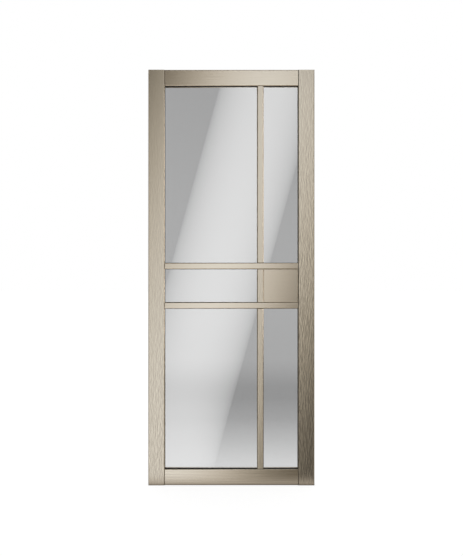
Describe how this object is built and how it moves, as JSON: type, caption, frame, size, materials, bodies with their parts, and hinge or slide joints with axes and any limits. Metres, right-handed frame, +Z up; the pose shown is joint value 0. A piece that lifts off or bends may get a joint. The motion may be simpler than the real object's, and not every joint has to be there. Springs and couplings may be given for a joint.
{
  "type": "glazed door",
  "caption": "Slim-framed glazed interior door leaf with a brushed champagne finish, grey glass panes between narrow glazing bars, and a solid block for the lock and handle.",
  "frame": {"origin": "on the hinge edge, at mid thickness, level with the bottom of the leaf", "axes": "+X from the hinge edge to the lock edge, -Y out of the front face, +Z up"},
  "size_m": [0.813, 0.035, 2.032],
  "materials": {
    "foil": "satin",
    "glass": "polished",
    "gasket": "matte"
  },
  "bodies": {
    "root": {"hinge_stile": "foil", "lock_stile": "foil", "top_rail": "foil", "bottom_rail": "foil", "upper_cross_bar": "foil", "lower_cross_bar": "foil", "upper_upright_bar": "foil", "middle_upright_bar": "foil", "lower_upright_bar": "foil", "lock_block": "foil", "upper_wide_bottom_bead": "foil", "upper_wide_top_bead": "foil", "upper_wide_left_bead": "foil", "upper_wide_right_bead": "foil", "upper_narrow_bottom_bead": "foil", "upper_narrow_top_bead": "foil", "upper_narrow_left_bead": "foil", "upper_narrow_right_bead": "foil", "middle_bottom_bead": "foil", "middle_top_bead": "foil", "middle_left_bead": "foil", "middle_right_bead": "foil", "lower_wide_bottom_bead": "foil", "lower_wide_top_bead": "foil", "lower_wide_left_bead": "foil", "lower_wide_right_bead": "foil", "lower_narrow_bottom_bead": "foil", "lower_narrow_top_bead": "foil", "lower_narrow_left_bead": "foil", "lower_narrow_right_bead": "foil", "upper_wide_pane": "glass", "upper_narrow_pane": "glass", "middle_pane": "glass", "lower_wide_pane": "glass", "lower_narrow_pane": "glass", "upper_wide_gasket": "gasket", "upper_narrow_gasket": "gasket", "middle_gasket": "gasket", "lower_wide_gasket": "gasket", "lower_narrow_gasket": "gasket"}
  },
  "joints": []
}
